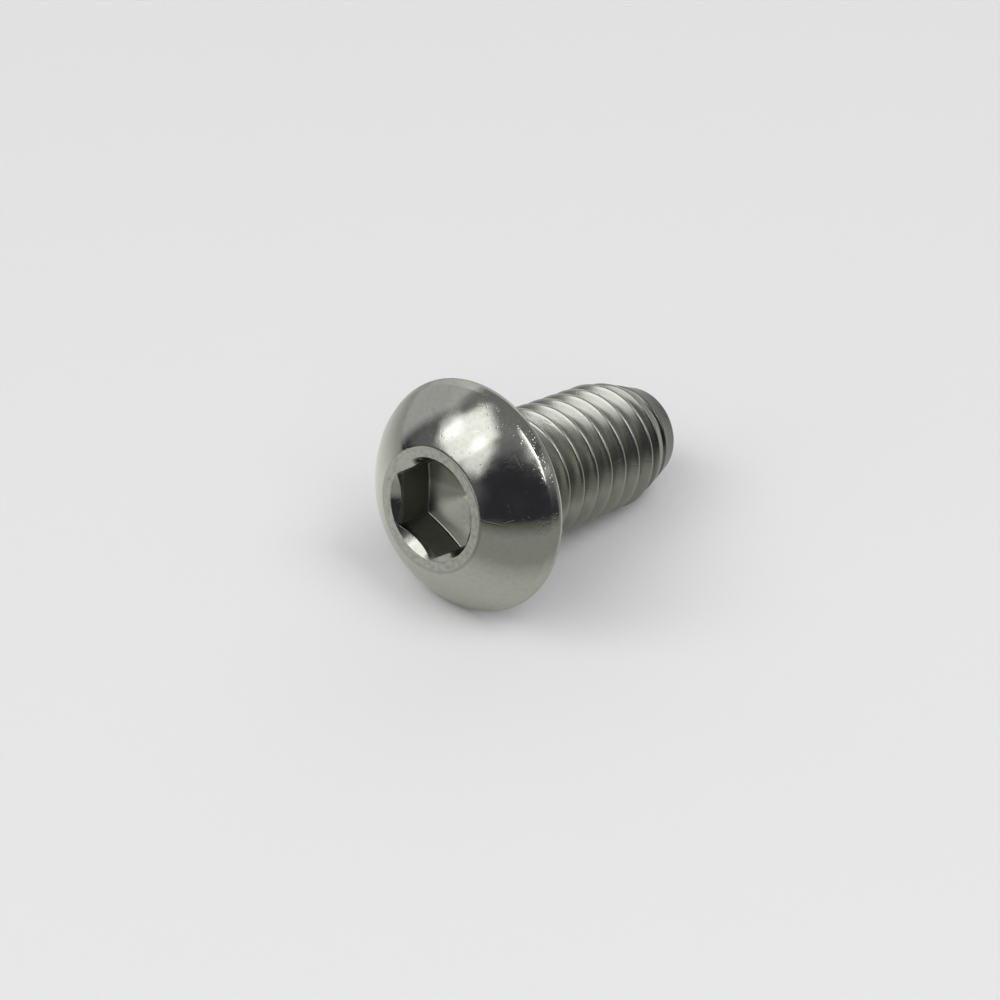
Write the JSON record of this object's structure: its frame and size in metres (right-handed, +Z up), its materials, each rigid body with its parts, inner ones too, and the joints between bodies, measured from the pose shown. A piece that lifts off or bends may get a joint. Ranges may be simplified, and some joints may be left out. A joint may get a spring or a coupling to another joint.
{
  "type": "button head socket screw",
  "caption": "Low domed head with a hexagon socket in its flat top and a thread that runs almost up to the head, lying on its rim and thread.",
  "frame": {"origin": "middle of the bounding box on the surface that the screw lies on", "axes": "+Z up; the screw lies along Y, its head towards -Y and its tip towards +Y, tilted so that the rim of the head and the last full crest of the thread touch the surface; its length is the part's longest extent"},
  "size_m": [0.0104, 0.0154, 0.0102],
  "materials": {
    "stainless_steel": "bright cold-forged stainless steel, lightly scratched and pitted"
  },
  "bodies": {
    "root": {"button_head_screw": "stainless_steel"}
  },
  "joints": []
}
